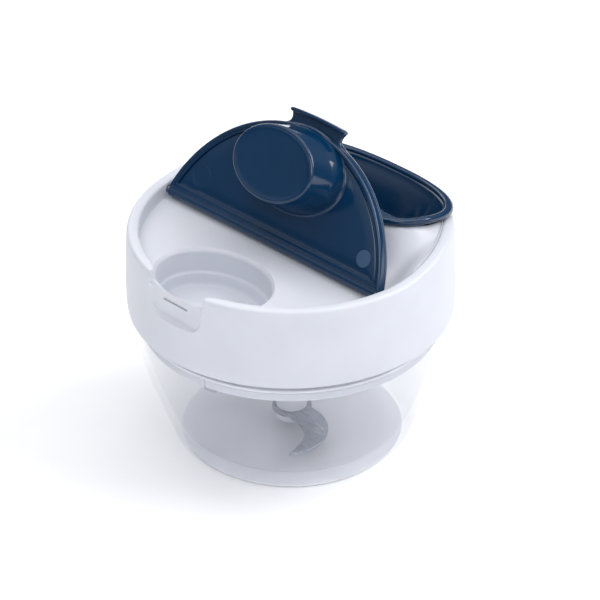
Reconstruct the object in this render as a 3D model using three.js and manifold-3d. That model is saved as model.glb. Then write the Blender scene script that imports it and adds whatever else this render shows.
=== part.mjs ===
// A hand-powered food processor: clear bowl, white head with a half-moon flip lid,
// and an oval pull handle whose cord spins the blade through a recoil reel.
// Millimetres, +Z up, origin at the middle of the underside, feed opening towards -Y.
import * as THREE from 'three';
import { mergeVertices } from 'three/addons/utils/BufferGeometryUtils.js';
import Module from 'manifold-3d';

const wasm = await Module();
wasm.setup();

const GAP = 0.3;
const DEG = Math.PI / 180;

const bowl = { rimZ: 57.7, floorZ: 4.4, wall: 2.6, padTop: 1.6 };
const head = { seamZ: 58, deckZ: 84.5, rimZ: 90.4, rimIn: 56.4, wallIn: 59.1, roof: 2.3 };
const well = { y: -40.3, a: 24.2, b: 18.2, floorZ: 70, stepZ: 75, wall: 2 };
const lid = {
  axisY: -9.65, axisZ: 87.2, openDeg: 120.6, thick: 4.6, barR: 2.3,
  arcR: 55.8, arcY: 11.4, chordY: 2.0, rimW: 2.6, tabHalf: 13.7, tabEnd: -48.7,
};
const plug = { y: -28.4, rootA: 22.5, rootB: 15.6, faceY: -28.75, faceA: 19.5, faceB: 14.1, drop: 16.9 };
const grip = {
  cy: 29.2, a: 44.5, b: 20.6, backB: 30.4, backPower: 2.42, rimTop: 99.6, rimH: 2.6, rimW: 3.3,
  bendY: 27, fall: 0.262, ledgeY: 21.7, ledgeDrop: 2,
  bottomZ: 72, floorZ: 74.4, draft: 8.5, tiltDeg: 18,
};
const reel = { z0: 54.6, z1: 64.4, r: 27, coreR: 19, pocketR: 16.5, cordR: 1 };

const smooth = (t) => { const c = Math.min(1, Math.max(0, t)); return c * c * (3 - 2 * c); };
const mix = (a, b, t) => a + (b - a) * t;

// ---------- solids ----------

function solid(geometry) {
  const bare = geometry.clone();
  bare.deleteAttribute('normal');
  bare.deleteAttribute('uv');
  const welded = mergeVertices(bare, 1e-4);
  return new wasm.Manifold(new wasm.Mesh({
    numProp: 3,
    vertProperties: new Float32Array(welded.attributes.position.array),
    triVerts: new Uint32Array(welded.index.array),
  }));
}

function surface(manifold) {
  const mesh = manifold.getMesh();
  const geometry = new THREE.BufferGeometry();
  geometry.setAttribute('position', new THREE.BufferAttribute(new Float32Array(mesh.vertProperties), 3));
  geometry.setIndex(new THREE.BufferAttribute(new Uint32Array(mesh.triVerts), 1));
  geometry.computeVertexNormals();
  return geometry;
}

// Skins a stack of equal-length rings into one closed body; the ends are capped to their middle.
function loft(rings, closed = false) {
  const n = rings[0].length;
  const position = [];
  for (const ring of rings) for (const p of ring) position.push(p.x, p.y, p.z);
  const index = [];
  const last = closed ? rings.length : rings.length - 1;
  for (let k = 0; k < last; k++) {
    const a = k * n;
    const b = ((k + 1) % rings.length) * n;
    for (let i = 0; i < n; i++) {
      const j = (i + 1) % n;
      index.push(a + i, a + j, b + j, a + i, b + j, b + i);
    }
  }
  if (!closed) {
    for (const [k, flip] of [[0, true], [rings.length - 1, false]]) {
      const mid = new THREE.Vector3();
      for (const p of rings[k]) mid.addScaledVector(p, 1 / n);
      const c = position.length / 3;
      position.push(mid.x, mid.y, mid.z);
      for (let i = 0; i < n; i++) {
        const j = (i + 1) % n;
        if (flip) index.push(c, k * n + j, k * n + i);
        else index.push(c, k * n + i, k * n + j);
      }
    }
  }
  let volume = 0;
  const at = (i) => new THREE.Vector3().fromArray(position, 3 * i);
  for (let i = 0; i < index.length; i += 3) {
    volume += at(index[i]).dot(at(index[i + 1]).cross(at(index[i + 2])));
  }
  if (volume < 0) for (let i = 0; i < index.length; i += 3) [index[i], index[i + 1]] = [index[i + 1], index[i]];
  const geometry = new THREE.BufferGeometry();
  geometry.setAttribute('position', new THREE.Float32BufferAttribute(position, 3));
  geometry.setIndex(index);
  geometry.computeVertexNormals();
  return geometry;
}

const circle = (r, z, n, squash = 1, x = 0, y = 0) => Array.from({ length: n }, (_, i) => {
  const t = (2 * Math.PI * i) / n;
  return new THREE.Vector3(x + r * Math.cos(t), y + r * squash * Math.sin(t), z);
});

// A turned body from a profile of [radius, height] pairs running from axis to axis.
const turned = (profile, n = 24) => loft(profile.map(([r, z]) => circle(r, z, n)));
// A turned ring from a closed profile that stays off the axis.
const turnedRing = (profile, n = 24) => loft(profile.map(([r, z]) => circle(r, z, n)), true);

const rod = (r, z0, z1, n = 16, x = 0, y = 0) => loft([circle(r, z0, n, 1, x, y), circle(r, z1, n, 1, x, y)]);
const box = (x0, x1, y0, y1, z0, z1) => new THREE.BoxGeometry(x1 - x0, y1 - y0, z1 - z0)
  .translate((x0 + x1) / 2, (y0 + y1) / 2, (z0 + z1) / 2);

function tube(points, r, segments, radial = 4) {
  const path = new THREE.CatmullRomCurve3(points);
  const ring = new THREE.Shape();
  ring.absarc(0, 0, r, 0, 2 * Math.PI);
  return new THREE.ExtrudeGeometry(ring, {
    steps: segments, extrudePath: path, curveSegments: radial, bevelEnabled: false,
  });
}

// ---------- scene ----------

const group = new THREE.Group();
group.name = 'food_processor';
const finishes = {
  white: { color: 0xe2e4ec, roughness: 0.42, metalness: 0 },
  navy: { color: 0x1f3a5c, roughness: 0.22, metalness: 0 },
  clear: { color: 0xe8eef4, roughness: 0.06, metalness: 0, transparent: true, opacity: 0.35 },
  rubber: { color: 0xd5d9e2, roughness: 0.8, metalness: 0 },
  grey: { color: 0x8c929c, roughness: 0.5, metalness: 0 },
  steel: { color: 0xb4b8bf, roughness: 0.25, metalness: 1 },
  cord: { color: 0xe6e6e0, roughness: 0.9, metalness: 0 },
};

function add(name, geometry, finish, parent = group) {
  const { ...look } = finishes[finish];
  const mesh = new THREE.Mesh(geometry, new THREE.MeshStandardMaterial(look));
  mesh.name = name;
  parent.add(mesh);
  return mesh;
}

// ---------- bowl ----------

add('base_pad', turned([[41.4, 0], [42.2, 0.6], [42.5, bowl.padTop]]), 'rubber');

const bowlOuter = [
  [42.9, bowl.padTop + GAP], [45.5, 4], [47.4, 8.5], [50.4, 17], [54.3, 28],
  [57.9, 40], [60.5, 51], [61.5, bowl.rimZ],
];
const bowlInner = [
  [58.9, bowl.rimZ], [58, 51], [55.3, 40], [51.6, 28], [47.6, 17], [43.6, 8.6], [39.4, 5.2],
  [34, bowl.floorZ],
];
const pinBore = solid(rod(2.5, 2.7, 10, 20));
let bowlSolid = solid(turned([...bowlOuter, ...bowlInner], 40)).subtract(pinBore);
for (const deg of [16, 196]) {
  const lug = box(-2.4, 2.4, -62.3, -60.2, 52.6, 57.2).rotateZ(deg * DEG);
  bowlSolid = bowlSolid.add(solid(lug));
}
add('bowl', surface(bowlSolid), 'clear');
add('blade_pivot_pin', turned([[2.2, 3], [2.2, 23], [1.6, 23.8]], 20), 'steel');

// ---------- blade set ----------

add('blade_hub', turned([
  [2.6, 25], [2.6, 4.9], [6.2, 4.9], [6.2, 7.8], [4, 8], [4, 30.4], [5.2, 30.8], [5.6, 33],
  [5.6, 46.4], [4.2, 46.4], [4.2, 36.5],
]), 'white');
add('blade_spacer', turnedRing([[4.3, 9.8], [5.9, 9.8], [5.7, 21], [4.3, 21]]), 'white');
add('blade_lock_ring', turnedRing([[4.3, 22.8], [6.2, 22.8], [5.6, 30.2], [4.3, 30.2]]), 'white');

function sickle(z, turnDeg) {
  const eye = 7.6;
  const shape = new THREE.Shape();
  shape.moveTo(eye * Math.cos(70 * DEG), eye * Math.sin(70 * DEG));
  shape.bezierCurveTo(12, 13.5, 24, 12, 30.5, 1.5);
  shape.bezierCurveTo(31.8, -1.6, 32.4, -4.8, 32.2, -8);
  shape.bezierCurveTo(30.2, -6.2, 27.6, -3.4, 24.5, -1.2);
  shape.bezierCurveTo(20, 2.2, 12, 0.6, eye * Math.cos(-40 * DEG), eye * Math.sin(-40 * DEG));
  shape.absarc(0, 0, eye, -40 * DEG, (70 - 360) * DEG, true);
  const eyeHole = new THREE.Path();
  eyeHole.absarc(0, 0, 4.3, 0, 2 * Math.PI, false);
  shape.holes.push(eyeHole);
  const geometry = new THREE.ExtrudeGeometry(shape, { depth: 1.2, bevelEnabled: false, curveSegments: 5 });
  return geometry.rotateZ(turnDeg * DEG).translate(0, 0, z);
}
add('blade_lower', sickle(8.3, -34), 'steel');
add('blade_upper', sickle(21.3, 146), 'steel');

// ---------- head housing ----------

// Height of the white rim all round: level in front, rising beside the grip, falling behind it.
function crest(y) {
  const up = 3.2 * smooth((y + 8) / 40);
  const down = 6.6 * smooth((y - 34) / 30);
  return head.rimZ + up - down;
}
// Distance outside the oval of the grip, about zero on its edge.
function gripGap(x, y) {
  const front = y < grip.cy;
  const power = front ? 2 : grip.backPower;
  const across = Math.abs(x / grip.a) ** power;
  const along = Math.abs((y - grip.cy) / (front ? grip.b : grip.backB)) ** power;
  return ((across + along) ** (1 / power) - 1) * (front ? 26 : 34);
}
function deck(x, y) {
  const s = Math.max(0, gripGap(x, y));
  const moat = head.deckZ + 12.1 * Math.pow(Math.max(0, 1 - s / 17), 2.2);
  const r = Math.hypot(x, y);
  const w = smooth((r - 46.5) / 10) * smooth((y + 6) / 16);
  return mix(moat, Math.min(crest(y), moat + 20), w);
}
const ring = (r, zAt, n = 40) => circle(r, 0, n).map((p) => p.setZ(zAt(p.x, p.y)));
const roofRings = (drop, limit) => [55, 50, 44, 36, 26, 17, 11, 7, 3.5]
  .filter((r) => r <= limit).map((r) => ring(r, (x, y) => deck(x, y) - drop));

const wallTop = (f) => (x, y) => mix(78, crest(y), f);
const headBody = loft([
  ring(61.4, () => head.seamZ), ring(61.9, () => 60.5), ring(61.9, () => 68), ring(61.7, () => 78),
  ring(61.2, wallTop(0.8)), ring(60.9, wallTop(0.94)), ring(60.1, wallTop(1)), ring(57.4, wallTop(1)),
  ring(head.rimIn, (x, y) => crest(y) - 0.9), ring(head.rimIn - 0.2, (x, y) => deck(x, y)),
  ...roofRings(0, 55.5),
]);
const headHollow = loft([
  ring(head.wallIn, () => head.seamZ - 2), ring(head.wallIn, () => 80),
  ring(57.5, (x, y) => Math.min(deck(x, y) - head.roof, crest(y) - 6)),
  ...roofRings(head.roof, 57),
]);

const oval = (a, b, z, y = well.y, n = 32) => circle(a, z, n, b / a, 0, y);
const wellOuter = loft([
  oval(well.a - 1 + well.wall, well.b - 1 + well.wall, well.floorZ - 2.2),
  oval(well.a + well.wall, well.b + well.wall, head.deckZ + 8),
]);
const wellInner = loft([
  oval(well.a - 2.4, well.b - 2.4, well.floorZ), oval(well.a - 1.5, well.b - 1.5, well.floorZ + 1),
  oval(well.a - 1.3, well.b - 1.3, well.stepZ), oval(well.a - 0.4, well.b - 0.4, well.stepZ + 0.4),
  oval(well.a, well.b, head.deckZ), oval(well.a + 0.5, well.b + 0.5, head.deckZ + 6),
]);

// Oval of the grip pulled in by an inset: half an ellipse in front, a fuller curve behind.
function gripRing(inset, zAt, n = 40) {
  return Array.from({ length: n }, (_, i) => {
    const t = (2 * Math.PI * (i + 0.5)) / n;
    const c = Math.cos(t);
    const s = Math.sin(t);
    const e = s < 0 ? 1 : 2 / grip.backPower;
    const reach = (s < 0 ? grip.b : grip.backB) - inset;
    const x = (grip.a - inset) * Math.sign(c) * Math.abs(c) ** e;
    const y = grip.cy + reach * Math.sign(s) * Math.abs(s) ** e;
    return new THREE.Vector3(x, y, zAt(x, y));
  });
}
const gripRim = (x, y) => grip.rimTop - grip.fall * Math.max(0, y - grip.bendY);
const gripLevel = (t, under) => (x, y) => mix(grip.bottomZ + under, gripRim(x, y) - grip.rimH, t);

const nest = (grow, drop, top) => loft([
  gripRing(grip.draft + 3.4 - grow, () => grip.bottomZ - drop),
  gripRing(grip.draft + 1.2 - grow, () => grip.bottomZ - drop + 1),
  gripRing(1.6 - grow, (x, y) => gripRim(x, y) - grip.rimH),
  gripRing(1.0 - grow, (x, y) => gripRim(x, y) + top),
]);
const pull = new THREE.Vector3(0, Math.sin(grip.tiltDeg * DEG), Math.cos(grip.tiltDeg * DEG));
const eyeletAt = new THREE.Vector3(0, 41, grip.bottomZ - 3.1);
const alongPull = (geometry, at) => geometry
  .rotateX(-grip.tiltDeg * DEG).translate(at.x, at.y, at.z);

let housing = solid(headBody).subtract(
  solid(headHollow).subtract(solid(wellOuter)).subtract(solid(nest(2.6, 3, 0))),
);
const bosses = [20, 160, 200, 340].map((d) => [48.5 * Math.cos(d * DEG), 48.5 * Math.sin(d * DEG)]);
const skin = solid(loft([
  ring(60, () => 50), ring(60, () => 70), ring(57, (x, y) => deck(x, y) - 1), ...roofRings(1, 56),
]));
for (const [x, y] of bosses) housing = housing.add(solid(rod(3.6, 51.4, 92, 12, x, y)).intersect(skin));
housing = housing.add(solid(rod(5, 68, 83.5, 24)));
for (const [x, y] of bosses) housing = housing.subtract(solid(rod(1.5, 50, 63, 10, x, y)));
housing = housing
  .subtract(solid(rod(2.2, 60, 79.6, 20)))
  .subtract(solid(wellInner))
  .subtract(solid(nest(0.1, 0.5, 20)))
  .subtract(solid(alongPull(rod(4.5, -6, 6, 24), eyeletAt)))
  .subtract(solid(box(-14, 14, -70, -54, 86.2, 100)))
  .subtract(solid(box(-12.4, 12.4, -70, -59.9, 76, 100)))
  .subtract(solid(box(-6, 6, -62, -59.2, 81.9, 82.9)));
for (const side of [-1, 1]) {
  const bore = rod(1.5, 50, 59.6, 16).rotateY(side * 90 * DEG).translate(0, lid.axisY, lid.axisZ);
  housing = housing.subtract(solid(bore));
}
add('head_housing', surface(housing), 'white');

let cover = solid(turned([
  [56.6, 49], [57, 49.4], [57, 52.6], [55.9, 52.6], [55.9, 55.2], [57, 55.2], [57, 63],
  [54.8, 63], [54.8, 51.1],
], 40)).subtract(solid(rod(6.2, 40, 60, 20)));
for (const [x, y] of bosses) {
  cover = cover.subtract(solid(loft([circle(3.2, 48, 12, 1, x, y), circle(3.2, 50.2, 12, 1, x, y)])));
  cover = cover.subtract(solid(rod(1.4, 48, 53, 10, x, y)));
}
add('head_bottom_cover', surface(cover), 'white');
add('head_gasket', turnedRing([[56.2, 52.9], [57.9, 53.3], [57.9, 54.5], [56.2, 54.9]], 36), 'rubber');
bosses.forEach(([x, y], i) => {
  add(`cover_screw_${i + 1}`, loft([
    circle(2.8, 48.9, 10, 1, x, y), circle(2.8, 49.9, 10, 1, x, y),
    circle(1.1, 49.9, 10, 1, x, y), circle(1.1, 60.5, 10, 1, x, y),
  ]), 'steel');
});
add('cord_eyelet', alongPull(turnedRing([
  [1.6, -1.3], [2.1, -1.8], [4.2, -1.8], [4.2, 1.3], [2.1, 1.3], [1.6, 0.8],
], 16), eyeletAt), 'grey');
add('axle_pin', rod(1.9, 46.6, 79, 20), 'steel');

// ---------- reel and drive ----------

add('drive_hub', turned([
  [3.5, 38.5], [3.5, 47], [5.7, 47.6], [5.7, 51.5], [12, 51.6], [12, 52.4], [2.3, 52.4], [2.3, 45.6],
]), 'grey');
for (const [i, deg] of [[1, 30], [2, 210]]) {
  const pawl = box(6, 10.6, -1.8, 1.8, 52.7, 54.2).rotateZ(deg * DEG);
  add(`clutch_pawl_${i}`, pawl, 'steel');
}
add('cord_reel', turnedRing([
  [reel.r, reel.z0], [reel.r, reel.z0 + 1.2], [reel.coreR, reel.z0 + 1.2], [reel.coreR, reel.z1 - 1.2],
  [reel.r, reel.z1 - 1.2], [reel.r, reel.z1], [reel.pocketR, reel.z1], [reel.pocketR, reel.z0 + 2.2],
  [4, reel.z0 + 2.2], [4, reel.z1 - 1], [2.3, reel.z1 - 1], [2.3, reel.z0],
], 30), 'grey');
add('wound_cord', turnedRing([
  [reel.coreR + GAP, 56.2], [24.6, 56.2], [25.4, 57.4], [25.4, 61.6], [24.6, 62.8], [reel.coreR + GAP, 62.8],
], 30), 'cord');
add('spring_cover', turnedRing([[4.4, 64.7], [reel.r - 1, 64.7], [reel.r - 1, 65.4], [4.4, 65.4]]), 'steel');

function spiral(r0, r1, turns, z0, z1, thick) {
  const steps = Math.round(turns * 14);
  const rings = [];
  for (let k = 0; k <= steps; k++) {
    const t = (k / steps) * turns * 2 * Math.PI;
    const r = mix(r0, r1, k / steps);
    const e = new THREE.Vector3(Math.cos(t), Math.sin(t), 0);
    rings.push([[r, z0], [r + thick, z0], [r + thick, z1], [r, z1]]
      .map(([rr, z]) => e.clone().multiplyScalar(rr).setZ(z)));
  }
  return loft(rings);
}
add('recoil_spring', spiral(4.8, 15.2, 4, 57.4, 63.4, 0.5), 'steel');

const tangent = Math.acos(26.9 / eyeletAt.y);
const leave = new THREE.Vector3(26.9 * Math.sin(tangent), 26.9 * Math.cos(tangent), 59.4);
add('pull_cord', tube([
  leave, leave.clone().lerp(eyeletAt, 0.5).setZ(61.6), eyeletAt.clone().add(new THREE.Vector3(1.2, -1.6, -3.4)),
  eyeletAt.clone().addScaledVector(pull, -0.6), eyeletAt.clone().addScaledVector(pull, 2.5),
], reel.cordR, 12), 'cord');

// ---------- pull handle ----------

const gripFloor = grip.draft + 4.6;
// The cup starts behind a straight edge, so a flat ledge is left inside the front of the rim.
const cupRing = (inset, zAt, edgeY = grip.ledgeY) => gripRing(inset, zAt)
  .map((p) => p.setY(Math.max(p.y, edgeY)));
let handle = solid(loft([
  gripRing(grip.draft + 4, () => grip.bottomZ), gripRing(grip.draft + 1.8, () => grip.bottomZ + 1.2),
  gripRing(2.1, gripLevel(1, 0)), gripRing(0.4, gripLevel(1, 0)),
  gripRing(0, (x, y) => gripRim(x, y) - grip.rimH + 0.7), gripRing(0.1, (x, y) => gripRim(x, y) - 0.8),
  gripRing(0.9, (x, y) => gripRim(x, y) - 0.1), gripRing(2, gripRim),
  gripRing(2.9, (x, y) => gripRim(x, y) - 0.3), gripRing(grip.rimW + 0.1, (x, y) => gripRim(x, y) - 1.1),
  gripRing(grip.rimW + 0.3, (x, y) => gripRim(x, y) - grip.ledgeDrop),
  cupRing(grip.rimW + 0.5, (x, y) => gripRim(x, y) - grip.ledgeDrop - 0.1),
  cupRing(grip.rimW + 1.2, gripLevel(0.85, 2), grip.ledgeY + 0.6),
  cupRing(gripFloor, () => grip.floorZ + 2.2, grip.ledgeY + 3),
  cupRing(gripFloor + 3, () => grip.floorZ, grip.ledgeY + 6),
]));
handle = handle.subtract(solid(alongPull(rod(1.6, -4, 6, 16), eyeletAt.clone().addScaledVector(pull, 4.5))));
add('pull_handle', surface(handle), 'navy');
const knotAt = eyeletAt.clone().addScaledVector(pull, 8.6);
add('handle_cord_end', surface(
  solid(alongPull(rod(reel.cordR, 3, 7.6, 8), eyeletAt))
    .add(solid(new THREE.SphereGeometry(2.1, 10, 6).translate(knotAt.x, knotAt.y, knotAt.z))),
), 'cord');

// ---------- flip lid, drawn closed about its hinge axis and turned open ----------

const lidGroup = new THREE.Group();
lidGroup.position.set(0, lid.axisY, lid.axisZ);
lidGroup.rotation.x = -lid.openDeg * DEG;
group.add(lidGroup);

function halfMoon(inset, tab) {
  const r = lid.arcR - inset;
  const half = Math.sqrt(r * r - (lid.arcY - lid.chordY + inset) ** 2);
  const from = Math.atan2(lid.chordY - inset - lid.arcY, half);
  const shape = new THREE.Shape();
  shape.moveTo(half, lid.chordY - inset);
  if (!tab) {
    shape.absarc(0, lid.arcY, r, from, -Math.PI - from, true);
    return shape;
  }
  const neck = Math.acos((lid.tabHalf + 2.5) / r);
  shape.absarc(0, lid.arcY, r, from, -neck, true);
  const edgeY = lid.arcY - r * Math.sin(neck);
  shape.quadraticCurveTo(lid.tabHalf, edgeY - 0.9, lid.tabHalf - 1.2, edgeY - 3.4);
  shape.lineTo(lid.tabHalf, lid.tabEnd + 0.4);
  shape.quadraticCurveTo(0, lid.tabEnd - 1.2, -lid.tabHalf, lid.tabEnd + 0.4);
  shape.lineTo(-lid.tabHalf + 1.2, edgeY - 3.4);
  shape.quadraticCurveTo(-lid.tabHalf, edgeY - 0.9, -lid.tabHalf - 2.5, edgeY);
  shape.absarc(0, lid.arcY, r, -Math.PI + neck, -Math.PI - from, true);
  return shape;
}
const slab = (shape, z0, z1) => new THREE.ExtrudeGeometry(shape, {
  depth: z1 - z0, bevelEnabled: false, curveSegments: 22,
}).translate(0, 0, z0);

const top = lid.thick / 2;
const bar = rod(lid.barR, -54, 54, 20).rotateY(90 * DEG);
let lidCover = solid(slab(halfMoon(0, true), -top, top))
  .subtract(solid(slab(halfMoon(lid.rimW, false), -top - 1, 0.3)))
  .subtract(solid(box(-60, 60, -0.1, 8, -10, 10)))
  .subtract(solid(box(-20, 20, -60, -45.2, -5, 0.4)))
  .subtract(solid(loft([oval(plug.rootA + 0.3, plug.rootB + 0.3, -5, plug.y),
    oval(plug.rootA + 0.3, plug.rootB + 0.3, 0.3, plug.y)])))
  .add(solid(bar))
  .add(solid(slab(halfMoon(0, false), -top, top)).intersect(solid(box(-54.5, 54.5, -2.6, 0, -top, top))));
for (const side of [-1, 1]) {
  lidCover = lidCover.subtract(solid(rod(1.5, 46, 60, 16).rotateY(side * 90 * DEG)));
}
add('lid_cover', surface(lidCover), 'navy', lidGroup);

const linerPlate = solid(slab(halfMoon(lid.rimW + GAP, false), -1.2, 0))
  .subtract(solid(box(-60, 60, -2.9, 8, -10, 10)));
const plugOuter = loft([
  oval(plug.faceA - 1, plug.faceB - 1, -plug.drop, plug.faceY), oval(plug.faceA, plug.faceB, -plug.drop + 0.9, plug.faceY),
  oval(mix(plug.faceA, plug.rootA, 0.6), mix(plug.faceB, plug.rootB, 0.6), -6, plug.y),
  oval(plug.rootA, plug.rootB, -0.4, plug.y),
]);
const plugInner = loft([
  oval(plug.faceA - 2.4, plug.faceB - 2.4, -plug.drop + 2, plug.faceY),
  oval(mix(plug.faceA, plug.rootA, 0.6) - 2, mix(plug.faceB, plug.rootB, 0.6) - 2, -6, plug.y),
  oval(plug.rootA - 2.2, plug.rootB - 2.2, 1, plug.y),
]);
const liner = linerPlate.add(solid(plugOuter)).subtract(solid(plugInner));
add('lid_liner', surface(liner), 'navy', lidGroup);
for (const [name, side] of [['hinge_pin_left', -1], ['hinge_pin_right', 1]]) {
  add(name, rod(1.2, 46.4, 59.2, 16).rotateY(side * 90 * DEG), 'steel', lidGroup);
}

export default group;
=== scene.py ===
"""A hand-pulled food processor in a plain studio: clear bowl, white head, navy flip lid and pull handle."""
import logging
import math
from dataclasses import dataclass
from enum import Enum
from typing import Callable, Sequence

import bpy
import numpy as np
from mathutils import Matrix, Vector


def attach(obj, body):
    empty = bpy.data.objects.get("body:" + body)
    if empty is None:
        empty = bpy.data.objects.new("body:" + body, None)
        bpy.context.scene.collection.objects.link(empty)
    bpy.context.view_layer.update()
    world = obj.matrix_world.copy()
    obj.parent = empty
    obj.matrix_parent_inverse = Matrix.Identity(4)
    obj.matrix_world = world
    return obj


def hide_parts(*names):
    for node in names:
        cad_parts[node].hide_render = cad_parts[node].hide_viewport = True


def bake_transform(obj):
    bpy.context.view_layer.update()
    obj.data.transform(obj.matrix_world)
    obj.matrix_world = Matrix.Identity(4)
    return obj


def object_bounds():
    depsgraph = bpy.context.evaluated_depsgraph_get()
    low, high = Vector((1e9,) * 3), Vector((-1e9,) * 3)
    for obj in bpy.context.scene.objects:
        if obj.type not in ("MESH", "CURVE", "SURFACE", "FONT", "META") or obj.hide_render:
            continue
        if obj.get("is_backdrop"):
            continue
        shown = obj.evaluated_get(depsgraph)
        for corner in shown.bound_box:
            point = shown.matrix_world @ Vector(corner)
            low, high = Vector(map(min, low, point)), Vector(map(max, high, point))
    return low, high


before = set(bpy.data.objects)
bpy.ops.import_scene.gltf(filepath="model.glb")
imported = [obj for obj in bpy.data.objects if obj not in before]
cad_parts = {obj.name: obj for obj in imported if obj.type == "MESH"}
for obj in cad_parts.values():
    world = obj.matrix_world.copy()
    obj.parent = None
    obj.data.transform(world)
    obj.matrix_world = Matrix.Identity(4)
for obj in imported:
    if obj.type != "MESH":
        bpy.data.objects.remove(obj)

LOG = logging.getLogger("food_processor")
CAD_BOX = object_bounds()
MM = 0.001

Ring = np.ndarray
Profile = Sequence[tuple[float, ...]]
Height = Callable[[np.ndarray, np.ndarray], np.ndarray]


class Cut(Enum):
    """How a tool body acts on a piece."""

    ADD = "UNION"
    TAKE = "DIFFERENCE"


class Slot(Enum):
    """The material slots of the row."""

    WHITE = "white_plastic"
    NAVY = "navy_plastic"
    CLEAR = "clear_plastic"
    RUBBER = "soft_rubber"
    GREY = "grey_plastic"
    STEEL = "steel"
    CORD = "braided_cord"


# ---------- numbers and curves ----------


def smooth(t: np.ndarray | float) -> np.ndarray | float:
    """Soft step from 0 to 1."""
    c = np.clip(t, 0.0, 1.0)
    return c * c * (3.0 - 2.0 * c)


def mix(a: float, b: float, t: float) -> float:
    """Straight blend from a to b."""
    return a + (b - a) * t


def linear(hex_colour: str) -> tuple[float, float, float, float]:
    """Turns an sRGB hex colour into linear RGBA.

    Args:
        hex_colour: six hex digits.

    Returns:
        The linear colour with an alpha of 1.
    """
    parts = [int(hex_colour[i : i + 2], 16) / 255 for i in (0, 2, 4)]
    out = [c / 12.92 if c <= 0.04045 else ((c + 0.055) / 1.055) ** 2.4 for c in parts]
    return out[0], out[1], out[2], 1.0


def rounded(points: Profile, closed: bool = False, steps: int = 5) -> np.ndarray:
    """Rounds the corners of a profile.

    Args:
        points: (a, b) pairs, or (a, b, radius) where a corner is rounded.
        closed: whether the last point joins the first.
        steps: pieces in each rounded corner.

    Returns:
        The finer profile, one row a point.
    """
    out: list[np.ndarray] = []
    n = len(points)
    for i, point in enumerate(points):
        here = np.array(point[:2], float)
        radius = point[2] if len(point) > 2 else 0.0
        if radius <= 0 or (not closed and i in (0, n - 1)):
            out.append(here)
            continue
        back = np.array(points[i - 1][:2], float) - here
        ahead = np.array(points[(i + 1) % n][:2], float) - here
        reach_a = min(radius, 0.48 * float(np.linalg.norm(back)))
        reach_b = min(radius, 0.48 * float(np.linalg.norm(ahead)))
        start = here + back / np.linalg.norm(back) * reach_a
        end = here + ahead / np.linalg.norm(ahead) * reach_b
        for k in range(steps + 1):
            t = k / steps
            out.append((1 - t) ** 2 * start + 2 * t * (1 - t) * here + t * t * end)
    return np.array(out)


def bezier(p: Sequence[tuple[float, float]], n: int) -> np.ndarray:
    """Points along a cubic curve.

    Args:
        p: its four control points.
        n: how many points.

    Returns:
        The points, one a row.
    """
    t = np.linspace(0, 1, n)[:, None]
    a, b, c, d = (np.array(q, float) for q in p)
    return (1 - t) ** 3 * a + 3 * t * (1 - t) ** 2 * b + 3 * t * t * (1 - t) * c + t**3 * d


# ---------- meshes ----------


def circle(r: float, z: float | Height, n: int = 192, x: float = 0, y: float = 0, b: float | None = None) -> Ring:
    """A level circle or oval, or one that follows a height.

    Args:
        r: radius along X in mm.
        z: its height, or a function of x and y that gives it.
        n: points.
        x: middle along X.
        y: middle along Y.
        b: radius along Y, if it is an oval.

    Returns:
        The ring.
    """
    t = np.arange(n) * 2 * math.pi / n
    xs = x + r * np.cos(t)
    ys = y + (r if b is None else b) * np.sin(t)
    zs = z(xs, ys) if callable(z) else np.full(n, float(z))
    return np.stack([xs, ys, zs], 1)


def skin(name: str, rings: Sequence[Ring], closed: bool = False, sharp: float = 40.0) -> bpy.types.Object:
    """Skins a stack of equal rings into one closed body.

    Args:
        name: the object's name.
        rings: rings in mm, in order.
        closed: whether the last ring joins the first instead of both ends being capped.
        sharp: edges bent more than this many degrees stay crisp.

    Returns:
        The new object, in metres.
    """
    n = len(rings[0])
    points = np.concatenate(rings)
    loops = len(rings) if closed else len(rings) - 1
    faces: list[tuple[int, ...]] = []
    for k in range(loops):
        a, b = k * n, ((k + 1) % len(rings)) * n
        faces += [(a + i, a + (i + 1) % n, b + (i + 1) % n, b + i) for i in range(n)]
    if not closed:
        for k, flip in ((0, True), (len(rings) - 1, False)):
            c = len(points)
            points = np.vstack([points, rings[k].mean(0)])
            for i in range(n):
                j = (i + 1) % n
                faces.append((c, k * n + j, k * n + i) if flip else (c, k * n + i, k * n + j))
    return from_faces(name, points, faces, sharp)


def from_faces(name: str, points: np.ndarray, faces: list[tuple[int, ...]], sharp: float = 40.0) -> bpy.types.Object:
    """Makes an object from points and faces, with its faces turned outwards.

    Args:
        name: the object's name.
        points: points in mm.
        faces: corner indices of each face.
        sharp: edges bent more than this many degrees stay crisp.

    Returns:
        The new object, in metres.
    """
    volume = 0.0
    for f in faces:
        for k in range(1, len(f) - 1):
            a, b, c = points[f[0]], points[f[k]], points[f[k + 1]]
            volume += a[0] * (b[1] * c[2] - b[2] * c[1]) + a[1] * (b[2] * c[0] - b[0] * c[2])
            volume += a[2] * (b[0] * c[1] - b[1] * c[0])
    if volume < 0:
        faces = [tuple(reversed(f)) for f in faces]
    mesh = bpy.data.meshes.new(name)
    mesh.from_pydata((points * MM).tolist(), [], faces)
    mesh.validate()
    obj = bpy.data.objects.new(name, mesh)
    bpy.context.scene.collection.objects.link(obj)
    soften(obj, sharp)
    return obj


def soften(obj: bpy.types.Object, sharp: float) -> None:
    """Shades a mesh smooth and keeps edges over an angle in degrees crisp."""
    obj.data.polygons.foreach_set("use_smooth", [True] * len(obj.data.polygons))
    obj.data.set_sharp_from_angle(angle=math.radians(sharp))
    obj.data.update()


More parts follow.
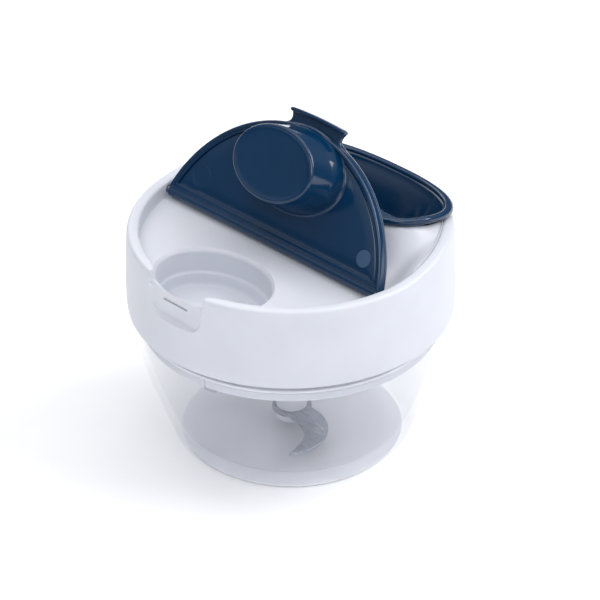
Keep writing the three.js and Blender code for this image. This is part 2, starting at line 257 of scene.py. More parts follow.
def turned(
    name: str, profile: Profile, closed: bool = False, n: int = 160, x: float = 0, y: float = 0
) -> bpy.types.Object:
    """Turns a profile of (radius, height[, corner radius]) about the vertical axis at x, y.

    Args:
        name: the object's name.
        profile: the profile in mm.
        closed: whether the profile closes on itself, as a ring's does.
        n: points round.
        x: axis place along X.
        y: axis place along Y.

    Returns:
        The new object.
    """
    return skin(name, [circle(r, z, n, x, y) for r, z in rounded(profile, closed)], closed)


def block(name: str, xs: Sequence[float], ys: Sequence[float], zs: Sequence[float]) -> bpy.types.Object:
    """A plain tool block between pairs of x, y and z, used only to cut with."""
    ring = [(xs[0], ys[0]), (xs[1], ys[0]), (xs[1], ys[1]), (xs[0], ys[1])]
    return skin(name, [np.array([(a, b, z) for a, b in ring], float) for z in zs])


def work(piece: bpy.types.Object, tool: bpy.types.Object, how: Cut, sharp: float = 40.0) -> bpy.types.Object:
    """Cuts or joins a tool body into a piece and removes the tool.

    Args:
        piece: the body worked on.
        tool: the body it is worked with.
        how: what the tool does.
        sharp: edges bent more than this many degrees stay crisp afterwards.

    Returns:
        The same piece.
    """
    modifier = piece.modifiers.new("work", "BOOLEAN")
    modifier.operation = how.value
    modifier.object = tool
    modifier.solver = "EXACT"
    graph = bpy.context.evaluated_depsgraph_get()
    made = bpy.data.meshes.new_from_object(piece.evaluated_get(graph))
    piece.modifiers.clear()
    old = piece.data
    piece.data = made
    made.name = piece.name
    bpy.data.meshes.remove(old)
    bpy.data.objects.remove(tool)
    soften(piece, sharp)
    return piece


def placed(piece: bpy.types.Object, matrix: Matrix) -> bpy.types.Object:
    """Moves a piece's mesh by a matrix in mm, so its object stays at the origin."""
    scale = Matrix.Scale(MM, 4)
    piece.data.transform(scale @ matrix @ scale.inverted())
    return piece


def put(piece: bpy.types.Object, body: str, finish: bpy.types.Material, nodes: Sequence[str]) -> None:
    """Gives a piece its finish and body, and hides the CAD nodes it stands for.

    Args:
        piece: the finished piece.
        body: the CAD body it moves with.
        finish: its material.
        nodes: the CAD nodes it replaces.
    """
    piece.data.materials.clear()
    piece.data.materials.append(finish)
    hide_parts(*nodes)
    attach(piece, body)
    LOG.info("%s: %d faces on %s", piece.name, len(piece.data.polygons), body)


# ---------- finishes ----------


def node(
    tree: bpy.types.NodeTree, kind: str, settings: dict | None = None, links: dict | None = None
) -> bpy.types.Node:
    """Adds a shader node with its settings and links.

    Args:
        tree: the material's node tree.
        kind: the node's type name.
        settings: socket names or attributes and their values.
        links: socket names and the output sockets joined to them.

    Returns:
        The new node.
    """
    made = tree.nodes.new(kind)
    for key, value in (settings or {}).items():
        if key in made.inputs:
            made.inputs[key].default_value = value
        else:
            setattr(made, key, value)
    for key, source in (links or {}).items():
        tree.links.new(source, made.inputs[key])
    return made


def start(name: str) -> tuple[bpy.types.Material, bpy.types.NodeTree, bpy.types.Node, bpy.types.NodeSocket]:
    """Begins a material.

    Args:
        name: the material's name.

    Returns:
        The material, its tree, its shader and the object coordinates in metres.
    """
    material = bpy.data.materials.new(name)
    material.use_nodes = True
    tree = material.node_tree
    shader = tree.nodes["Principled BSDF"]
    place = node(tree, "ShaderNodeTexCoord").outputs["Object"]
    return material, tree, shader, place


@dataclass(frozen=True)
class MouldedPlastic:
    """Injection-moulded ABS: one colour, a fine mould texture and slow sink in its gloss."""

    name: str
    colour: str
    cloud: str
    rough_low: float
    rough_high: float
    grain_mm: float = 0.6
    grain_depth: float = 0.04
    sink_mm: float = 22.0
    bleed: float = 0.0

    def build(self) -> bpy.types.Material:
        """Returns the material: flow clouds in the colour, patchy gloss and a fine mould grain."""
        material, tree, shader, place = start(self.name)
        clouds = node(tree, "ShaderNodeTexNoise", {"Scale": 1000 / self.sink_mm, "Detail": 2.0}, {"Vector": place})
        colour = node(tree, "ShaderNodeValToRGB", {}, {"Fac": clouds.outputs["Fac"]})
        colour.color_ramp.elements[0].position, colour.color_ramp.elements[1].position = 0.35, 0.65
        colour.color_ramp.elements[0].color = linear(self.cloud)
        colour.color_ramp.elements[1].color = linear(self.colour)
        gloss = node(
            tree, "ShaderNodeMapRange",
            {"From Min": 0.3, "From Max": 0.7, "To Min": self.rough_low, "To Max": self.rough_high},
            {"Value": clouds.outputs["Fac"]},
        )
        # A real mould grain of a few hundredths of a millimetre is too fine to show, so it is drawn coarser.
        grain = node(tree, "ShaderNodeTexNoise", {"Scale": 1000 / self.grain_mm, "Detail": 3.0}, {"Vector": place})
        bump = node(
            tree, "ShaderNodeBump", {"Strength": 0.35, "Distance": self.grain_depth * MM},
            {"Height": grain.outputs["Fac"]},
        )
        shader.inputs["IOR"].default_value = 1.53
        if self.bleed > 0:
            shader.inputs["Subsurface Weight"].default_value = self.bleed
            shader.inputs["Subsurface Scale"].default_value = 0.0015
        tree.links.new(colour.outputs["Color"], shader.inputs["Base Color"])
        tree.links.new(gloss.outputs["Result"], shader.inputs["Roughness"])
        tree.links.new(bump.outputs["Normal"], shader.inputs["Normal"])
        return material


@dataclass(frozen=True)
class ClearStyrene:
    """Clear moulded styrene with faint flow haze; body is the share of light that each face of the wall stops."""

    name: str = "moulded_clear_styrene"
    colour: str = "DADEE8"
    haze: str = "D2D6E1"
    body: float = 0.13

    def build(self) -> bpy.types.Material:
        """Returns the material: a thin pale tint that lets most light through, with a soft wavy skin."""
        material, tree, shader, place = start(self.name)
        flow = node(tree, "ShaderNodeTexNoise", {"Scale": 1000 / 18, "Detail": 2.0}, {"Vector": place})
        tint = node(tree, "ShaderNodeValToRGB", {}, {"Fac": flow.outputs["Fac"]})
        tint.color_ramp.elements[0].color = linear(self.haze)
        tint.color_ramp.elements[1].color = linear(self.colour)
        gloss = node(
            tree, "ShaderNodeMapRange", {"From Min": 0.3, "From Max": 0.7, "To Min": 0.02, "To Max": 0.07},
            {"Value": flow.outputs["Fac"]},
        )
        bump = node(
            tree, "ShaderNodeBump", {"Strength": 0.25, "Distance": 0.0001}, {"Height": flow.outputs["Fac"]}
        )
        shader.inputs["IOR"].default_value = 1.38
        shader.inputs["Transmission Weight"].default_value = 0.3
        shader.inputs["Alpha"].default_value = self.body
        tree.links.new(tint.outputs["Color"], shader.inputs["Base Color"])
        tree.links.new(gloss.outputs["Result"], shader.inputs["Roughness"])
        tree.links.new(bump.outputs["Normal"], shader.inputs["Normal"])
        return material


@dataclass(frozen=True)
class GroundSteel:
    """Stainless sheet or wire: fine straight grinding lines that stretch its highlights."""

    name: str
    colour: str = "989DA8"
    dark: str = "858A96"
    line_mm: float = 0.5
    rough_low: float = 0.22
    rough_high: float = 0.38

    def build(self) -> bpy.types.Material:
        """Returns the material: a grey metal whose grain runs along X."""
        material, tree, shader, place = start(self.name)
        stretch = node(tree, "ShaderNodeMapping", {"Scale": (0.08, 1.0, 1.0)}, {"Vector": place})
        lines = node(
            tree, "ShaderNodeTexNoise", {"Scale": 1000 / self.line_mm, "Detail": 2.0},
            {"Vector": stretch.outputs["Vector"]},
        )
        tone = node(tree, "ShaderNodeValToRGB", {}, {"Fac": lines.outputs["Fac"]})
        tone.color_ramp.elements[0].color = linear(self.dark)
        tone.color_ramp.elements[1].color = linear(self.colour)
        gloss = node(
            tree, "ShaderNodeMapRange",
            {"From Min": 0.3, "From Max": 0.7, "To Min": self.rough_low, "To Max": self.rough_high},
            {"Value": lines.outputs["Fac"]},
        )
        bump = node(
            tree, "ShaderNodeBump", {"Strength": 0.3, "Distance": 0.00002}, {"Height": lines.outputs["Fac"]}
        )
        shader.inputs["Metallic"].default_value = 1.0
        tree.links.new(tone.outputs["Color"], shader.inputs["Base Color"])
        tree.links.new(gloss.outputs["Result"], shader.inputs["Roughness"])
        tree.links.new(bump.outputs["Normal"], shader.inputs["Normal"])
        return material


@dataclass(frozen=True)
class BraidedCord:
    """Braided polyester cord: two crossing sets of strands, dull and a little fuzzy."""

    name: str = "braided_polyester_cord"
    colour: str = "ECECE6"
    # The gap colour is painted shade: the hollows between crossing strands get a darker colour instead of shade from
    # the lamps.
    gap: str = "B9B9B2"
    strand_mm: float = 0.45

    def build(self) -> bpy.types.Material:
        """Returns the material: crossing strands, with painted shade darkening the gaps between them."""
        material, tree, shader, place = start(self.name)
        heights = []
        for turn in (0.9, -0.9):
            lean = node(tree, "ShaderNodeMapping", {"Rotation": (turn, turn, 0.0)}, {"Vector": place})
            wave = node(
                tree, "ShaderNodeTexWave", {"Scale": 1000 / self.strand_mm / 20, "Distortion": 0.4},
                {"Vector": lean.outputs["Vector"]},
            )
            heights.append(wave.outputs["Fac"])
        top = node(tree, "ShaderNodeMath", {"operation": "MAXIMUM"})
        tree.links.new(heights[0], top.inputs[0])
        tree.links.new(heights[1], top.inputs[1])
        tone = node(tree, "ShaderNodeValToRGB", {}, {"Fac": top.outputs["Value"]})
        # Painted shade: the low parts between the strands take the darker gap colour.
        tone.color_ramp.elements[0].color = linear(self.gap)
        tone.color_ramp.elements[1].color = linear(self.colour)
        bump = node(
            tree, "ShaderNodeBump", {"Strength": 0.6, "Distance": 0.0001}, {"Height": top.outputs["Value"]}
        )
        shader.inputs["Roughness"].default_value = 0.85
        shader.inputs["Sheen Weight"].default_value = 0.3
        tree.links.new(tone.outputs["Color"], shader.inputs["Base Color"])
        tree.links.new(bump.outputs["Normal"], shader.inputs["Normal"])
        return material


@dataclass(frozen=True)
class StudioPaper:
    """The pale seamless paper that the object stands on."""

    name: str = "seamless_paper"
    colour: str = "FAFAFB"
    shade: str = "F6F6F8"

    def build(self) -> bpy.types.Material:
        """Returns the material: near-white matt paper with faint fibre clouds."""
        material, tree, shader, place = start(self.name)
        fibre = node(tree, "ShaderNodeTexNoise", {"Scale": 60.0, "Detail": 3.0}, {"Vector": place})
        tone = node(tree, "ShaderNodeValToRGB", {}, {"Fac": fibre.outputs["Fac"]})
        tone.color_ramp.elements[0].color = linear(self.shade)
        tone.color_ramp.elements[1].color = linear(self.colour)
        shader.inputs["Roughness"].default_value = 1.0
        shader.inputs["Specular IOR Level"].default_value = 0.0
        tree.links.new(tone.outputs["Color"], shader.inputs["Base Color"])
        return material


class Finishes:
    """Every finish of the object, built once."""

    def __init__(self) -> None:
        """Builds the materials."""
        self.white = MouldedPlastic(
            "moulded_white_abs", "CCCFD7", "C8CBD4", 0.36, 0.44, grain_depth=0.02, bleed=0.08
        ).build()
        # Polished navy: small sharp highlights on a dark body colour.
        self.navy = MouldedPlastic(
            "moulded_navy_abs", "052F50", "042B4A", 0.09, 0.14, grain_depth=0.012, sink_mm=30
        ).build()
        self.matt_navy = MouldedPlastic("etched_navy_abs", "2E4C6C", "294766", 0.5, 0.6, grain_depth=0.02).build()
        self.clear = ClearStyrene().build()
        self.rubber = MouldedPlastic(
            "moulded_soft_rubber", "ECEDF2", "E6E8EE", 0.7, 0.82, grain_mm=0.8, grain_depth=0.05
        ).build()
        self.grey = MouldedPlastic("moulded_grey_acetal", "8E949E", "868C96", 0.42, 0.52, grain_depth=0.02).build()
        self.blade = GroundSteel("ground_stainless_blade").build()
        self.steel = GroundSteel("drawn_steel", "B4B8BF", "A2A6AE", 0.35, 0.25, 0.35).build()
        self.spring = GroundSteel("rolled_spring_steel", "8D939C", "7B818A", 0.8, 0.3, 0.42).build()
        self.cord = BraidedCord().build()
        self.wound = BraidedCord("wound_polyester_cord", strand_mm=0.9).build()
        self.paper = StudioPaper().build()


# ---------- bowl ----------


@dataclass
class Bowl:
    """The clear bowl with its moulded grip pads, ribs and lugs, and the soft pad under it. Sizes in mm."""

    rim_z: float = 57.7
    pad_az: tuple[float, ...] = (45.5, 225.5)
    pad_half_deg: float = 15.5
    pad_z: float = 32.0
    pad_half_z: float = 15.0
    pad_corner: float = 9.0
    pad_rise: float = 0.55
    rib_rise: float = 0.5
    around: int = 360

    def outside(self, z: float) -> float:
        """Outer radius at a height."""
        table = ((1.9, 42.9), (4, 45.5), (8.5, 47.4), (17, 50.4), (28, 54.3), (40, 57.9), (51, 60.5), (57.7, 61.5))
        return float(np.interp(z, [a for a, _ in table], [b for _, b in table]))

    def relief(self, az: np.ndarray, z: float) -> np.ndarray:
        """How far the outer face stands out at a height.

        Args:
            az: azimuths in degrees, from the front towards the right.
            z: the height.

        Returns:
            The relief in mm at each azimuth.
        """
        out = np.zeros_like(az)
        radius = self.outside(z)
        for middle in self.pad_az:
            off = (az - middle + 180) % 360 - 180
            across = np.abs(np.radians(off) * radius)
            half = math.radians(self.pad_half_deg) * 54.0
            dx = np.maximum(across - (half - self.pad_corner), 0)
            dz = max(abs(z - self.pad_z) - (self.pad_half_z - self.pad_corner), 0)
            edge = np.hypot(dx, dz) - self.pad_corner
            out += self.pad_rise * smooth(0.5 - edge / 1.4)
            out -= 0.35 * np.exp(-((edge - 0.9) / 0.7) ** 2)
            rib_az = middle + mix(-20.5, -28.5, (z - 16) / 28)
            off = np.radians((az - rib_az + 180) % 360 - 180) * radius
            fade = smooth((z - 13) / 4) * smooth((47 - z) / 4)
            out += self.rib_rise * fade * np.exp(-((off / 0.7) ** 2))
        return out

    def build(self, finishes: Finishes) -> None:
        """Makes the bowl and its pad and puts them on the bowl body."""
        t = np.arange(self.around) * 2 * math.pi / self.around
        az = np.degrees(np.arctan2(np.cos(t), -np.sin(t)))
        rings: list[Ring] = []

        def lay(radius: np.ndarray | float, z: float) -> None:
            """Adds one ring."""
            r = np.broadcast_to(radius, t.shape)
            rings.append(np.stack([r * np.cos(t), r * np.sin(t), np.full(len(t), z)], 1))

        for r, z in rounded([(38.0, 1.95), (41.8, 1.95), (42.9, 1.9, 0.8), (45.5, 4.0, 1.2), (46.0, 5.2)]):
            lay(r, z)
        for z in np.arange(6.0, 56.0, 1.0):
            lay(self.outside(z) + self.relief(az, z), z)
        for r, z in rounded([(61.3, 56.2), (61.5, 57.7, 0.5), (58.9, 57.7, 0.5), (58.75, 56.4)]):
            lay(r, z)
        inside = rounded(
            [(58.7, 56.0), (58, 51, 3), (55.3, 40, 5), (51.6, 28, 5), (47.6, 17, 4), (43.6, 8.6, 3), (39.4, 5.2, 2.4),
             (34, 4.4, 1.2), (8, 4.4)], steps=8,
        )
        for r, z in inside:
            lay(r, z)
        bowl = skin("clear_bowl", rings, sharp=50)
        work(bowl, turned("bore", [(2.5, 2.7), (2.5, 10)], n=64), Cut.TAKE)
        for deg in (16, 196):
            lug = block("lug", (-2.4, 2.4), (-62.2, -60.2), (52.6, 52.9, 56.9, 57.2))
            placed(lug, Matrix.Rotation(math.radians(deg), 4, "Z"))
            work(bowl, lug, Cut.ADD)
        put(bowl, "bowl", finishes.clear, ["bowl"])

        pad = turned("soft_base_pad", [
            (20, 0.05), (38, 0.05), (39, 0, 0.4), (41.4, 0, 0.5), (42.5, 1.6, 0.4), (30, 1.6),
        ])
        put(pad, "bowl", finishes.rubber, ["base_pad"])


# ---------- blades ----------


@dataclass
class BladeSet:
    """The white blade post with two ground sickle blades. Sizes in mm."""

    eye: float = 7.6
    shaft: float = 4.3
    thick: float = 1.2
    levels: tuple[tuple[str, float, float], ...] = (("blade_lower", 8.3, -34.0), ("blade_upper", 21.3, 146.0))

    def sickle(self, name: str, z: float, turn: float) -> bpy.types.Object:
        """One blade: a flat back that thins to a ground edge inside the curve.

        Args:
            name: the piece's name.
            z: height of its lower face.
            turn: its turn about the post in degrees.

        Returns:
            The blade.
        """
        eye = self.eye
        at = lambda deg: (eye * 0.9 * math.cos(math.radians(deg)), eye * 0.9 * math.sin(math.radians(deg)))
        back = np.vstack([bezier([at(70), (12, 13.5), (24, 12), (30.5, 1.5)], 22),
                          bezier([(30.5, 1.5), (31.8, -1.6), (32.4, -4.8), (32.2, -8)], 10)[1:]])
        edge = np.vstack([bezier([at(-40), (12, 0.6), (20, 2.2), (24.5, -1.2)], 22),
                          bezier([(24.5, -1.2), (27.6, -3.4), (30.2, -6.2), (31.9, -7.9)], 10)[1:]])
        rings = []
        for b, e in zip(back, edge):
            grind = min(2.6, 0.45 * float(np.linalg.norm(b - e)))
            along = (b - e) / max(float(np.linalg.norm(b - e)), 1e-6)
            knee = e + along * grind
            soft = b - along * 0.2
            rings.append(np.array([
                (*soft, z), (*b, z + 0.25), (*b, z + self.thick - 0.25), (*soft, z + self.thick),
                (*knee, z + self.thick), (*e, z + 0.7), (*e, z + 0.5), (*knee, z + 0.02),
            ]))
        blade = skin(name, rings, sharp=14)
        collar = turned("eye", [(self.shaft, z, 0.1), (eye, z, 0.2), (eye, z + self.thick, 0.2),
                                (self.shaft, z + self.thick, 0.1)], True, 96)
        work(blade, collar, Cut.ADD, 20)
        work(blade, turned("bore", [(self.shaft, z - 3), (self.shaft, z + 4)], n=96), Cut.TAKE, 20)
        return placed(blade, Matrix.Rotation(math.radians(turn), 4, "Z"))

    def build(self, finishes: Finishes) -> None:
        """Makes the blades and their post."""
        for name, z, turn in self.levels:
            put(self.sickle(f"ground_{name}", z, turn), "blades", finishes.blade, [name])
        post = turned("blade_post", [
            (2.6, 25), (2.6, 4.9, 0.3), (6.2, 4.9, 0.5), (6.2, 7.8, 0.5), (4, 8, 0.2), (4, 30.4, 0.2), (5.2, 30.8, 0.4),
            (5.6, 33, 0.6), (5.6, 46.4, 0.5), (4.2, 46.4, 0.4), (4.2, 36.5),
        ], n=96)
        put(post, "blades", finishes.white, ["blade_hub"])
        sleeve = [(4.3, 9.8, 0.2), (5.9, 9.8, 0.4), (5.7, 21, 0.4), (4.3, 21, 0.2)]
        spacer = turned("blade_post_sleeve", sleeve, True, 96)
        put(spacer, "blades", finishes.white, ["blade_spacer"])
        cone = [(4.3, 22.8, 0.2), (6.2, 22.8, 0.5), (5.6, 30.2, 0.7), (4.3, 30.2, 0.2)]
        nut = turned("blade_post_nut", cone, True, 96)
        put(nut, "blades", finishes.white, ["blade_lock_ring"])
        pin = turned("pivot_pin", [(1.2, 3), (2.2, 3, 0.3), (2.2, 23, 0.8), (1.2, 23.8)], n=64)
        put(pin, "bowl", finishes.steel, ["blade_pivot_pin"])


# ---------- grip shape, shared by the head and the handle ----------


@dataclass
class GripShape:
    """The oval of the pull handle and of the nest that it sits in. Sizes in mm."""

    cy: float = 29.2
    a: float = 44.5
    b: float = 20.6
    back_b: float = 30.4
    back_power: float = 2.42
    rim_top: float = 99.6
    rim_h: float = 2.6
    rim_w: float = 3.3
    bend_y: float = 27.0
    fall: float = 0.262
    ledge_y: float = 21.7
    ledge_drop: float = 2.0
    bottom_z: float = 72.0
    floor_z: float = 74.4
    draft: float = 8.5
    tilt_deg: float = 18.0
    around: int = 240

    def rim(self, x: np.ndarray, y: np.ndarray) -> np.ndarray:
        """Height of the rim's top."""
        return self.rim_top - self.fall * np.maximum(0.0, y - self.bend_y)

    def gap(self, x: np.ndarray, y: np.ndarray) -> np.ndarray:
        """Distance outside the oval, about zero on its edge."""
        front = y < self.cy
        power = np.where(front, 2.0, self.back_power)
        across = np.abs(x / self.a) ** power
        along = np.abs((y - self.cy) / np.where(front, self.b, self.back_b)) ** power
        return ((across + along) ** (1 / power) - 1) * np.where(front, 26.0, 34.0)

    def ring(self, inset: float, z: float | Height) -> Ring:
        """The oval pulled in by an inset: half an ellipse in front and a fuller curve behind.

        Args:
            inset: how far in, in mm.
            z: its height or a function of x and y.

        Returns:
            The ring.
        """
        t = 2 * math.pi * (np.arange(self.around) + 0.5) / self.around
        c, s = np.cos(t), np.sin(t)
        e = np.where(s < 0, 1.0, 2 / self.back_power)
        reach = np.where(s < 0, self.b, self.back_b) - inset
        x = (self.a - inset) * np.sign(c) * np.abs(c) ** e
        y = self.cy + reach * np.sign(s) * np.abs(s) ** e
        zs = z(x, y) if callable(z) else np.full(len(x), float(z))
        return np.stack([x, y, zs], 1)

    def cup(self, inset: float, z: float | Height, edge_y: float) -> Ring:
        """The oval cut off straight in front, where the finger cup begins.

        Args:
            inset: how far in, in mm.
            z: its height or a function of x and y.
            edge_y: where the straight edge lies.

        Returns:
            The ring.
        """
        ring = self.ring(inset, z)
        ring[:, 1] = np.maximum(ring[:, 1], edge_y)
        return ring

    def pull(self) -> Vector:
        """The direction that the handle is pulled in."""
        return Vector((0, math.sin(math.radians(self.tilt_deg)), math.cos(math.radians(self.tilt_deg))))

    def eyelet(self) -> Vector:
        """The middle of the cord eyelet."""
        return Vector((0, 41, self.bottom_z - 3.1))

    def along_pull(self, at: Vector) -> Matrix:
        """Turns an upright part to lie along the pull direction at a point."""
        return Matrix.Translation(at) @ Matrix.Rotation(math.radians(-self.tilt_deg), 4, "X")


# ---------- head ----------


@dataclass
class Head:
    """The white head: outer shell, feed well, catch and nest. Sizes in mm."""

    grip: GripShape
    seam_z: float = 58.0
    deck_z: float = 84.5
    rim_z: float = 90.4
    wall_in: float = 59.1
    roof: float = 2.3
    well_y: float = -40.3
    well_a: float = 24.2
    well_b: float = 18.2
    well_floor: float = 70.0
    lip: float = 1.1
    hinge_y: float = -9.65
    hinge_z: float = 87.2

    def crest(self, y: np.ndarray) -> np.ndarray:
        """Height of the rim: level in front, higher beside the grip, lower behind it."""
        return self.rim_z + 3.2 * smooth((y + 8) / 40) - 6.6 * smooth((y - 34) / 30)

    def deck(self, x: np.ndarray, y: np.ndarray) -> np.ndarray:
        """Height of the deck: flat in front and swept up to the grip and the rear rim."""
        g = self.grip
        gap = g.gap(x, y)
        moat = self.deck_z + 12.1 * np.power(np.maximum(0.0, 1 - np.maximum(0.0, gap) / 17), 2.2)
        w = smooth((np.hypot(x, y) - 46.5) / 10) * smooth((y + 6) / 16)
        return moat + (np.minimum(self.crest(y), moat + 20) - moat) * w

    def shell(self) -> bpy.types.Object:
        """Returns the outer shell with its rim and deck, still without its openings."""
        rise = lambda f: (lambda x, y: 78 + (self.crest(y) - 78) * f)
        top = lambda drop: (lambda x, y: self.crest(y) - drop)
        rings = [circle(61.25, self.seam_z), circle(61.5, self.seam_z + 0.25), circle(61.62, self.seam_z + 0.7)]
        rings += [circle(r, z) for r, z in ((61.9, 61.5), (61.92, 65), (61.9, 69), (61.8, 73), (61.7, 77))]
        rings += [circle(r, rise(f)) for r, f in ((61.55, 0.3), (61.35, 0.6), (61.15, 0.8), (60.95, 0.9))]
        rings += [circle(r, top(d)) for r, d in (
            (60.75, 0.75), (60.5, 0.4), (60.1, 0.14), (59.6, 0.02), (58.9, 0.0), (58.0, 0.0), (57.5, 0.06),
            (57.0, 0.22), (56.65, 0.5), (56.45, 0.9))]
        low = lambda f: (lambda x, y: self.crest(y) - 0.9 + (self.deck(x, y) + 0.5 - self.crest(y) + 0.9) * f)
        rings += [circle(56.4, low(0.4)), circle(56.32, low(0.8)), circle(56.25, low(1.0))]
        rings += [circle(56.0, lambda x, y: self.deck(x, y) + 0.12), circle(55.6, self.deck)]
        rings += [circle(r, self.deck) for r in (55, 54, 52.5, 51, 49.5, 48, 46.5, 45, 43.5, 42, 40, 38, 36, 34, 32, 30,
                                                 28, 26, 24, 22, 20, 18, 16, 14, 12, 10, 8, 6.5, 5, 3.5, 2)]
        return skin("white_head_shell", rings, sharp=35)

    def hollow(self) -> bpy.types.Object:
        """Returns the space inside the shell."""
        under = lambda x, y: self.deck(x, y) - self.roof
        rings = [circle(self.wall_in, self.seam_z - 2), circle(self.wall_in, 80)]
        rings += [circle(57.5, lambda x, y: np.minimum(under(x, y), self.crest(y) - 6))]
        rings += [circle(r, under) for r in (55, 52, 48, 44, 40, 35, 30, 25, 20, 15, 10, 7, 3.5)]
        return skin("hollow", rings)

    def well(self, grow: float, profile: Profile, steps: int = 8) -> bpy.types.Object:
        """A feed-well body from a profile of (offset from the oval, height[, corner radius]).

        Args:
            grow: added to every offset.
            profile: the profile.
            steps: pieces in each rounded corner.

        Returns:
            The body.
        """
        rings = [circle(self.well_a + grow + o, z, 192, 0, self.well_y, self.well_b + grow + o)
                 for o, z in rounded(profile, steps=steps)]
        return skin("well", rings)

    def nest(self, grow: float, drop: float, top: float) -> bpy.types.Object:
        """Returns the space that the handle sits in, grown by a clearance."""
        g = self.grip
        return skin("nest", [
            g.ring(g.draft + 3.4 - grow, g.bottom_z - drop), g.ring(g.draft + 1.2 - grow, g.bottom_z - drop + 1),
            g.ring(1.6 - grow, lambda x, y: g.rim(x, y) - g.rim_h),
            g.ring(1.0 - grow, lambda x, y: g.rim(x, y) + top),
        ])

    def catch_recess(self) -> bpy.types.Object:
        """Returns the U-shaped recess of the catch, as a body to cut with."""
        left, right, low, high, face = -12.6, 13.4, 75.6, 100.0, -59.7
        outline = rounded([(left, high), (left, low, 6.5), (right, low, 6.5), (right, high)], steps=10)
        rings = []
        flare = ((0.9, -70), (0.9, -61.6), (0.55, -61.0), (0.25, -60.5), (0.0, -60.0), (-0.35, -59.75), (-0.8, face))
        for grow, y in flare:
            mid = np.array([0.4, 84.0])
            out = []
            for p in outline:
                d = p - mid
                out.append(p + np.array([np.sign(d[0]) * grow, -grow if p[1] < 84 else 0.0]))
            rings.append(np.array([(p[0], y, p[1]) for p in out]))
        return skin("catch", rings)

    def catch_notch(self) -> bpy.types.Object:
        """Returns the gap in the rim for the lid's tab, with a rounded sill, as a body to cut with."""
        xs = np.linspace(-14.0, 14.0, 33)
        rs = np.concatenate([[50.0, 54.0], np.linspace(56.0, 60.6, 15), [64.0, 72.0]])
        points, index = [], {}
        for i, x in enumerate(xs):
            for j, r in enumerate(rs):
                sill = 86.35 - 0.9 * float(np.clip(abs(r - 58.95) / 1.15, 0, 1)) ** 2.4
                sill -= 0.0 if r < 60.4 else 0.4
                y = -math.sqrt(max(r * r - x * x, 1.0))
                index[i, j, 0] = len(points)
                points.append((x, y, sill))
                index[i, j, 1] = len(points)
                points.append((x, y, 104.0))
        faces = []
        nx, nr = len(xs), len(rs)
        for i in range(nx - 1):
            for j in range(nr - 1):
                faces.append((index[i, j, 0], index[i, j + 1, 0], index[i + 1, j + 1, 0], index[i + 1, j, 0]))
                faces.append((index[i, j, 1], index[i + 1, j, 1], index[i + 1, j + 1, 1], index[i, j + 1, 1]))
        for i in range(nx - 1):
            for j, flip in ((0, False), (nr - 1, True)):
                quad = (index[i, j, 0], index[i + 1, j, 0], index[i + 1, j, 1], index[i, j, 1])
                faces.append(tuple(reversed(quad)) if flip else quad)
        for j in range(nr - 1):
            for i, flip in ((0, True), (nx - 1, False)):
                quad = (index[i, j, 0], index[i, j + 1, 0], index[i, j + 1, 1], index[i, j, 1])
                faces.append(tuple(reversed(quad)) if flip else quad)
        return from_faces("notch", np.array(points, float), faces)

    def build(self, finishes: Finishes) -> None:
        """Makes the head and the parts that hang under it."""
        g = self.grip
        shell = self.shell()
        space = self.hollow()
        work(space, self.well(2.0, [(-3.4, 67.8), (-1, 67.8, 1.5), (0, 92)]), Cut.TAKE)
        work(space, self.nest(2.6, 3, 0), Cut.TAKE)
        work(shell, space, Cut.TAKE, 35)
        for deg in (20, 160, 200, 340):
            x, y = 48.5 * math.cos(math.radians(deg)), 48.5 * math.sin(math.radians(deg))
            boss = turned("boss", [(3.6, 51.4), (3.6, 83.2)], n=48, x=x, y=y)
            work(shell, boss, Cut.ADD, 35)
            work(shell, turned("pilot", [(1.5, 50), (1.5, 63)], n=32, x=x, y=y), Cut.TAKE, 35)
        work(shell, turned("post", [(5, 68), (5, 83.5)], n=64), Cut.ADD, 35)
        work(shell, turned("axle", [(2.2, 60), (2.2, 79.6)], n=48), Cut.TAKE, 35)
        inside = [
            (-4.5, self.well_floor), (-2.2, self.well_floor, 2.0), (-1.35, 74.6, 0.5), (-0.55, 75.3, 0.6),
            (-0.1, self.deck_z - self.lip, 0.9), (self.lip, self.deck_z + 0.02, 0.25),
            (self.lip + 0.8, self.deck_z + 8),
        ]
        work(shell, self.well(0.0, inside), Cut.TAKE, 35)
        work(shell, self.nest(0.1, 0.5, 20), Cut.TAKE, 35)
        hole = placed(turned("eyelet_hole", [(4.5, -6), (4.5, 6)], n=64), g.along_pull(g.eyelet()))
        work(shell, hole, Cut.TAKE, 35)
        work(shell, self.catch_notch(), Cut.TAKE, 35)
        work(shell, self.catch_recess(), Cut.TAKE, 35)
        work(shell, block("slit", (-6.1, 6.1), (-62, -58.9), (81.9, 82.9)), Cut.TAKE, 35)
        for side in (-1, 1):
            bore = turned("bore", [(1.5, 50), (1.5, 59.6)], n=48)
            turn = Matrix.Rotation(math.radians(side * 90), 4, "Y")
            work(shell, placed(bore, Matrix.Translation((0, self.hinge_y, self.hinge_z)) @ turn), Cut.TAKE, 35)
        put(shell, "head", finishes.white, ["head_housing"])

